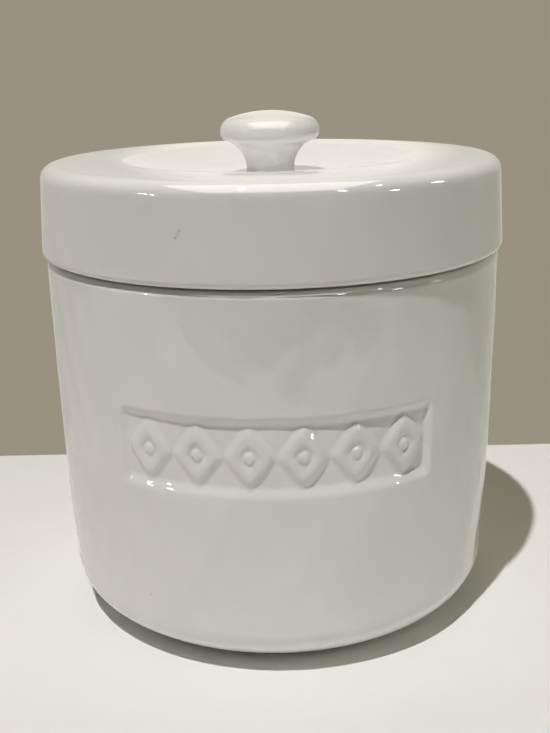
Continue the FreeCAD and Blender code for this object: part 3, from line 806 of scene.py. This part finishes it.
def make_clamp(material):
    """Band with the shallow dimples of its spot welds on the inside."""
    low, high, outer = CLAMP_LOW.z, CLAMP_HIGH.z, CLAMP_HIGH.x
    outline = trace((outer, low), [
        (outer, high),
        (CLAMP_INNER + CLAMP_EDGE, high),
        (CLAMP_INNER, high - CLAMP_EDGE, "left", CLAMP_EDGE),
        (CLAMP_INNER, low + CLAMP_EDGE),
        (CLAMP_INNER + CLAMP_EDGE, low, "left", CLAMP_EDGE),
    ], CLAMP_PITCH)
    pitch = 2 * math.pi / SPOT_WELDS

    def inset(angle, radius, height):
        across = ((angle + pitch / 2) % pitch - pitch / 2) * CLAMP_INNER
        distance = np.hypot(across, height - (low + high) / 2)
        dimple = SPOT_DEPTH * bump((SPOT_RADIUS - distance) / SPOT_SLOPE)
        return radius + dimple * (radius < CLAMP_INNER + 0.1), height

    clamp = turned("mesh_clamp_band", outline, even_angles(CLAMP_ROUND), material, inset, ring=True)
    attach(clamp, "strainer")
    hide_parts("mesh_clamp_ring")


def make_loop(name, node, side, material):
    """Lifting loop: a round wire, with weld metal where its feet meet the band."""
    crown = LOOP_LOW.x + LOOP_WIRE
    level = (LOOP_LOW.z + LOOP_HIGH.z) / 2
    run = CLAMP_INNER - LOOP_WIRE - LOOP_GAP
    bend_y = LOOP_HALF_WIDTH + LOOP_BEND
    bend_x = math.sqrt((run - LOOP_BEND) ** 2 - bend_y ** 2)
    weld = np.array([bend_x, bend_y]) * run / (run - LOOP_BEND)
    turn = math.atan2(weld[1], weld[0]) + LOOP_FOOT_ANGLE
    half = trace((crown, 0), [
        (crown, LOOP_HALF_WIDTH - LOOP_CORNER),
        (crown + LOOP_CORNER, LOOP_HALF_WIDTH, "right", LOOP_CORNER),
        (bend_x, LOOP_HALF_WIDTH),
        (*weld, "left", LOOP_BEND),
        (run * math.cos(turn), run * math.sin(turn), "left", run),
    ], LOOP_PITCH)
    flat = np.vstack([half[:0:-1] * (1, -1), half])
    along = np.concatenate([[0], np.cumsum(np.hypot(*np.diff(flat, axis=0).T))])
    ahead = np.gradient(flat, along, axis=0)
    ahead /= np.hypot(*ahead.T)[:, None]
    to_right = np.column_stack([ahead[:, 1], -ahead[:, 0], np.zeros(len(flat))])
    path = np.column_stack([flat, np.full(len(flat), level)]) * (side, side, 1)
    frames = [(vector * (side, side, 1), np.array([0, 0, 1.0])) for vector in to_right]
    angles = np.linspace(0, 2 * math.pi, LOOP_ROUND, endpoint=False)

    def section(share):
        place = share * along[-1]
        from_end = min(place, along[-1] - place)
        tip = math.sqrt(max(0.05, 1 - (1 - min(from_end / LOOP_TIP, 1)) ** 2))
        wire = np.full(len(angles), LOOP_WIRE * tip)
        weld_share = bump((WELD_LENGTH - from_end) / WELD_SLOPE)
        # uneven weld metal, flat where it meets the band
        rough = 1 + 0.12 * math.sin(from_end * 3.1) + 0.06 * math.sin(from_end * 7.7 + 1)
        lean = np.cos(angles)
        to_band = np.where(lean > 0.05, LOOP_WIRE / np.maximum(lean, 0.05), 9.0)
        most = LOOP_WIRE * (1 + WELD_SWELL * rough * weld_share * (np.abs(lean) < 0.995))
        wire = np.where(lean > 0, np.maximum(wire, np.minimum(to_band, most) * tip), wire)
        return np.column_stack([wire * np.cos(angles), wire * np.sin(angles)])

    loop = swept(name, path, frames, section, material)
    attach(loop, "strainer")
    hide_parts(node)


# ------------------------------------------------------------------ table and light

TABLE_BACK = 103.6
TABLE_FRONT = -320.0
TABLE_HALF_WIDTH = 900.0
TABLE_THICKNESS = 22.0
TABLE_EDGE = 4.0
TABLE_COLOUR = (0.89, 0.89, 0.875)
BACKDROP = (0.315, 0.285, 0.215)
AMBIENT = (1.0, 0.82, 0.50)
AMBIENT_STRENGTH = 0.022

# what the glaze and steel mirror, by the direction (x, y, z) in which it lies
ROOM = (0.045, 0.045, 0.038)        # unlit room in front
ROOM_EDGE = (-0.2, 0.5)             # y over which it gives way to the cloth behind
CLOTH = (0.95, 0.92, 0.84)          # lit middle of the cloth behind
SIDE_CLOTH = (0.57, 0.55, 0.49)     # its dimmer sides and foot
CLOTH_MIDDLE = 0.02                 # x / y of its middle
CLOTH_EDGE = (0.10, 0.17)           # x / y from there over which it grows dimmer
CLOTH_FOOT = (0.0, 0.03)            # z over which its lit middle starts
CEILING = (1.0, 1.0, 0.97)
CEILING_EDGE = (0.42, 0.72)         # z over which the ceiling starts


def make_table():
    """Pale slab with rounded edges that the keeper stands on."""
    outline = trace((TABLE_FRONT + TABLE_EDGE, -TABLE_THICKNESS), [
        (TABLE_BACK - TABLE_EDGE, -TABLE_THICKNESS),
        (TABLE_BACK, TABLE_EDGE - TABLE_THICKNESS, "left", TABLE_EDGE),
        (TABLE_BACK, -TABLE_EDGE),
        (TABLE_BACK - TABLE_EDGE, 0, "left", TABLE_EDGE),
        (TABLE_FRONT + TABLE_EDGE, 0),
        (TABLE_FRONT, -TABLE_EDGE, "left", TABLE_EDGE),
        (TABLE_FRONT, TABLE_EDGE - TABLE_THICKNESS),
        (TABLE_FRONT + TABLE_EDGE, -TABLE_THICKNESS, "left", TABLE_EDGE),
    ], 1000)[:-1]
    count = len(outline)
    verts = [(x, y, z) for x in (TABLE_HALF_WIDTH, -TABLE_HALF_WIDTH) for y, z in outline]
    faces = [(j, (j + 1) % count, count + (j + 1) % count, count + j) for j in range(count)]
    faces += [tuple(range(count))[::-1], tuple(range(count, 2 * count))]
    material, tree, shader = new_material("pale_table")
    grain = noise(tree, object_place(tree), 60.0, 4.0)
    tree.links.new(ramp(tree, grain, [(0.3, tuple(c * 0.985 for c in TABLE_COLOUR)),
                                      (0.7, TABLE_COLOUR)]), shader.inputs["Base Color"])
    shader.inputs["Roughness"].default_value = 0.8
    shader.inputs["Specular IOR Level"].default_value = 0.12
    table = new_object("table", verts, faces, [material], smooth=False)


def make_world():
    """Plain backdrop for the camera, a simple room for mirrored rays, and faint warm light."""
    world = bpy.data.worlds.new("studio")
    world.use_nodes = True
    bpy.context.scene.world = world
    tree = world.node_tree
    tree.nodes.clear()
    rays = add(tree, "ShaderNodeLightPath")
    way = add(tree, "ShaderNodeSeparateXYZ",
              {"Vector": add(tree, "ShaderNodeTexCoord").outputs["Generated"]})
    x, y, z = (way.outputs[axis] for axis in "XYZ")
    behind = add(tree, "ShaderNodeMapRange", {"Value": y, "From Min": ROOM_EDGE[0],
                                              "From Max": ROOM_EDGE[1]}).outputs["Result"]
    aside = math_node(tree, "DIVIDE", x, y)
    aside = math_node(tree, "ABSOLUTE", math_node(tree, "SUBTRACT", aside, CLOTH_MIDDLE))
    cloth = ramp(tree, aside, zip(CLOTH_EDGE, (CLOTH, SIDE_CLOTH)))
    raised = ramp(tree, z, zip(CLOTH_FOOT, (BLACK, WHITE)))
    above = ramp(tree, z, zip(CEILING_EDGE, (BLACK, WHITE)))
    cloth = mixed(tree, raised, (*SIDE_CLOTH, 1.0), cloth)
    level = mixed(tree, behind, (*ROOM, 1.0), cloth)
    mirrored = mixed(tree, above, level, (*CEILING, 1.0))
    backdrop = add(tree, "ShaderNodeBackground", {"Color": (*BACKDROP, 1.0), "Strength": 1.0})
    ambient = add(tree, "ShaderNodeBackground", {"Color": (*AMBIENT, 1.0),
                                                 "Strength": AMBIENT_STRENGTH})
    room = add(tree, "ShaderNodeBackground", {"Color": mirrored, "Strength": 1.0})
    shown = ambient
    for kind, background in (("Is Glossy Ray", room), ("Is Transmission Ray", room),
                             ("Is Camera Ray", backdrop)):
        shown = add(tree, "ShaderNodeMixShader", {0: rays.outputs[kind], 1: shown.outputs[0],
                                                  2: background.outputs[0]})
    add(tree, "ShaderNodeOutputWorld", {"Surface": shown.outputs[0]})


LAMP_TARGET = Vector((0.0, 0.0, 0.06))
LAMP_DISTANCE = 2.4


def area_light(name, place, size, power, colour, shape="SQUARE"):
    """Lamp that faces the keeper."""
    light = bpy.data.lights.new(name, "AREA")
    light.shape = shape
    light.size = size
    light.energy = power
    light.color = colour
    obj = bpy.data.objects.new(name, light)
    obj.location = place
    obj.rotation_euler = (LAMP_TARGET - obj.location).to_track_quat("-Z", "Y").to_euler()
    bpy.context.scene.collection.objects.link(obj)
    return obj


# small lamps: direction from the keeper, size, power and colour
KEY = ((-0.168, -0.340, 0.925), 0.045, 39.0, (1.0, 0.972, 0.970))
GLINTS = {
    "glint_left": ((-0.845, -0.431, 0.317), 0.16, 2.4, (1.0, 0.94, 0.86)),
    "glint_left_inner": ((-0.819, -0.502, 0.278), 0.12, 1.6, (1.0, 0.94, 0.86)),
    "glint_right": ((0.491, -0.708, 0.507), 0.20, 4.4, (0.98, 1.0, 0.94)),
    "glint_right_high": ((0.632, -0.325, 0.704), 0.16, 2.8, (0.98, 1.0, 0.94)),
    "glint_right_low": ((0.849, -0.488, 0.202), 0.20, 3.0, (0.98, 1.0, 0.92)),
    "glint_right_back": ((0.923, -0.030, 0.384), 0.26, 3.0, (0.98, 1.0, 0.92)),
}


def make_lights():
    """Key, overhead, fills that aren't mirrored, and a ceiling and glints that only are."""
    area_light("overhead", (0.0, 0.45, 1.15), 0.8, 1.15, (1.0, 0.88, 0.60))
    fills = [area_light("left_fill", (-1.5, -0.5, 0.50), 0.6, 0.25, (1.0, 0.74, 0.40)),
             area_light("right_fill", (1.22, -0.65, 0.78), 0.5, 1.75, (0.95, 1.0, 0.55)),
             area_light("back_fill", (0.2, 1.6, 0.38), 0.9, 3.8, (1.0, 0.95, 0.82))]
    for fill in fills:
        fill.visible_glossy = False
    place, size, power, colour = KEY
    area_light("key", Vector(place) * LAMP_DISTANCE, size, power, colour, shape="DISK")
    mirrored = [area_light("ceiling", (0.0, -0.9, 2.6), 3.2, 130.0, (1.0, 1.0, 0.96))]
    for name, (place, size, power, colour) in GLINTS.items():
        mirrored.append(area_light(name, Vector(place) * LAMP_DISTANCE, size, power, colour,
                                   shape="DISK"))
    for lamp in mirrored:
        lamp.visible_diffuse = False


CAMERA_PLACE = (0.5, -291.68, 156.97)
CAMERA_PITCH = math.radians(17.05)
CAMERA_YAW = math.radians(-0.10)
CAMERA_ROLL = math.radians(-1.30)
FOCAL_PIXELS = 998.1
PICTURE_HEIGHT = 733
SENSOR = 36.0


def make_camera():
    """Camera of the view, fitted to the outlines of lid, wall, foot and knob."""
    forward = Vector((math.sin(CAMERA_YAW) * math.cos(CAMERA_PITCH),
                      math.cos(CAMERA_YAW) * math.cos(CAMERA_PITCH), -math.sin(CAMERA_PITCH)))
    level = Vector((math.cos(CAMERA_YAW), -math.sin(CAMERA_YAW), 0.0))
    upward = level.cross(forward)
    right = math.cos(CAMERA_ROLL) * level + math.sin(CAMERA_ROLL) * upward
    up = math.cos(CAMERA_ROLL) * upward - math.sin(CAMERA_ROLL) * level
    data = bpy.data.cameras.new("view")
    data.sensor_fit = "AUTO"
    data.sensor_width = SENSOR
    data.lens = FOCAL_PIXELS / PICTURE_HEIGHT * SENSOR
    data.clip_start = 0.01
    camera = bpy.data.objects.new("view", data)
    camera.matrix_world = (Matrix.Translation(Vector(CAMERA_PLACE) * MM)
                           @ Matrix((right, up, -forward)).transposed().to_4x4())
    bpy.context.scene.collection.objects.link(camera)
    bpy.context.scene.camera = camera


# ----------------------------------------------------------------------------- main

def main():
    make_camera()
    make_crock(glaze("glaze_crock", WALL_SPECK), bisque())
    lid_glaze = glaze("glaze_lid", SKIRT_SMUDGE)
    make_lid(lid_glaze)
    make_knob(lid_glaze)
    sheet = steel("steel_spun", (0.62, 0.62, 0.61), 0.26, (9.0, 9000.0, 9000.0), 0.25)
    wire_cloth = steel("steel_woven", (0.58, 0.58, 0.57), 0.24, (40.0, 900.0, 900.0), 0.1)
    wire = steel("steel_polished", (0.66, 0.66, 0.65), 0.16, (60.0, 500.0, 500.0), 0.08)
    make_flange(sheet)
    make_mesh(wire_cloth)
    make_clamp(sheet)
    make_loop("loop_right", "finger_loop_right", 1, wire)
    make_loop("loop_left", "finger_loop_left", -1, wire)
    make_table()
    make_world()
    make_lights()
    bpy.context.scene.view_settings.view_transform = "Standard"


main()
